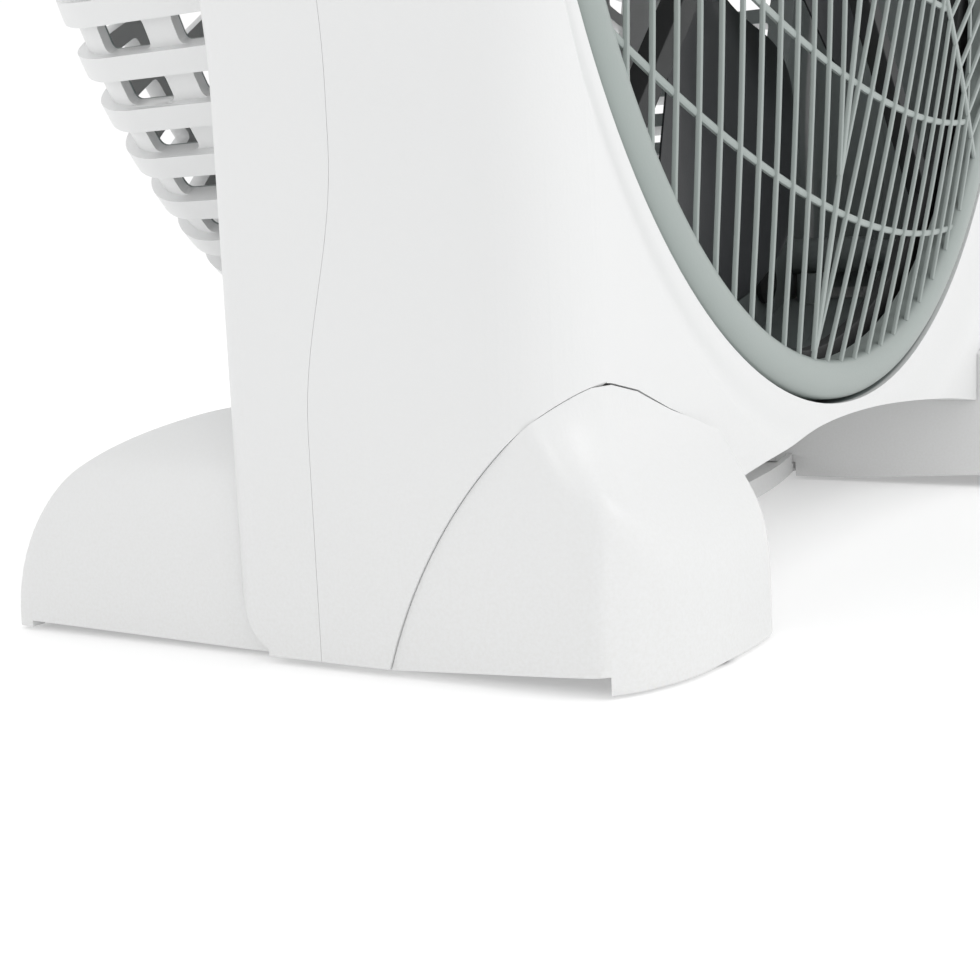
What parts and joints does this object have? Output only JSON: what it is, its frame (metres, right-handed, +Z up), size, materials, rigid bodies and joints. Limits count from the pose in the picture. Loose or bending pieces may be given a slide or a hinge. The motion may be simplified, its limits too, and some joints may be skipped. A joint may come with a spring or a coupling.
{
  "type": "box_fan",
  "caption": "Upright box fan with a turning round grille of slanted slats, a slotted rear cage and two long feet that stand on the floor.",
  "frame": {"origin": "middle of the footprint on the floor", "axes": "+X right seen from the front, +Y from the front face to the rear cage, +Z up"},
  "size_m": [0.348, 0.1598, 0.3963],
  "materials": {
    "shell_white": "satin",
    "grille_grey": "satin",
    "steel": "satin",
    "motor_paint": "satin",
    "dark_plastic": "matt",
    "rubber": "matt",
    "copper": "satin",
    "fan_plastic": "satin"
  },
  "bodies": {
    "housing": {"front_shell": "shell_white", "rear_shell": "shell_white", "rear_cage": "shell_white", "foot_left": "shell_white", "foot_right": "shell_white", "base_bridge": "shell_white", "control_panel": "grille_grey", "bearing_front": "steel", "bearing_rear": "steel", "motor_screw_1": "steel", "motor_screw_2": "steel", "motor_screw_3": "steel", "motor_screw_4": "steel", "housing_screw_1": "steel", "housing_screw_2": "steel", "housing_screw_3": "steel", "housing_screw_4": "steel", "spider_screw_1": "steel", "spider_screw_2": "steel", "spider_screw_3": "steel", "spider_screw_4": "steel", "foot_screw_front_left": "steel", "foot_screw_front_right": "steel", "foot_screw_rear_left": "steel", "foot_screw_rear_right": "steel", "bridge_screw_left": "steel", "bridge_screw_right": "steel", "grille_motor": "motor_paint", "motor_front_bell": "motor_paint", "motor_rear_bell": "motor_paint", "front_spider": "dark_plastic", "speed_switch": "dark_plastic", "timer_body": "dark_plastic", "rocker_body": "dark_plastic", "inlet_bush": "dark_plastic", "stator": "copper", "foot_pad_front_left": "rubber", "foot_pad_front_right": "rubber", "foot_pad_rear_left": "rubber", "foot_pad_rear_right": "rubber"},
    "fan": {"fan_blade": "fan_plastic", "blade_nut": "dark_plastic", "motor_shaft": "steel", "rotor": "steel"},
    "grille": {"front_grille": "grille_grey", "grille_cap": "grille_grey", "grille_shaft": "steel"},
    "speed_knob_body": {"speed_knob": "shell_white"},
    "timer_knob_body": {"timer_knob": "shell_white"},
    "rocker": {"grille_rocker": "shell_white"}
  },
  "joints": [
    {"name": "fan_spin", "type": "hinge", "parent": "housing", "child": "fan", "pos_m": [0, 0, 0.198], "axis": [0, 1, 0], "continuous": true},
    {"name": "grille_spin", "type": "hinge", "parent": "housing", "child": "grille", "pos_m": [0, 0, 0.198], "axis": [0, 1, 0], "continuous": true},
    {"name": "speed_knob_turn", "type": "hinge", "parent": "housing", "child": "speed_knob_body", "pos_m": [-0.048, -0.035, 0.383], "axis": [0, 0, 1], "range_deg": [-120, 0]},
    {"name": "timer_knob_turn", "type": "hinge", "parent": "housing", "child": "timer_knob_body", "pos_m": [0, -0.035, 0.383], "axis": [0, 0, 1], "range_deg": [-270, 0]},
    {"name": "rocker_tilt", "type": "hinge", "parent": "housing", "child": "rocker", "pos_m": [0.046, -0.035, 0.381], "axis": [0, 1, 0], "range_deg": [-7, 7]}
  ]
}
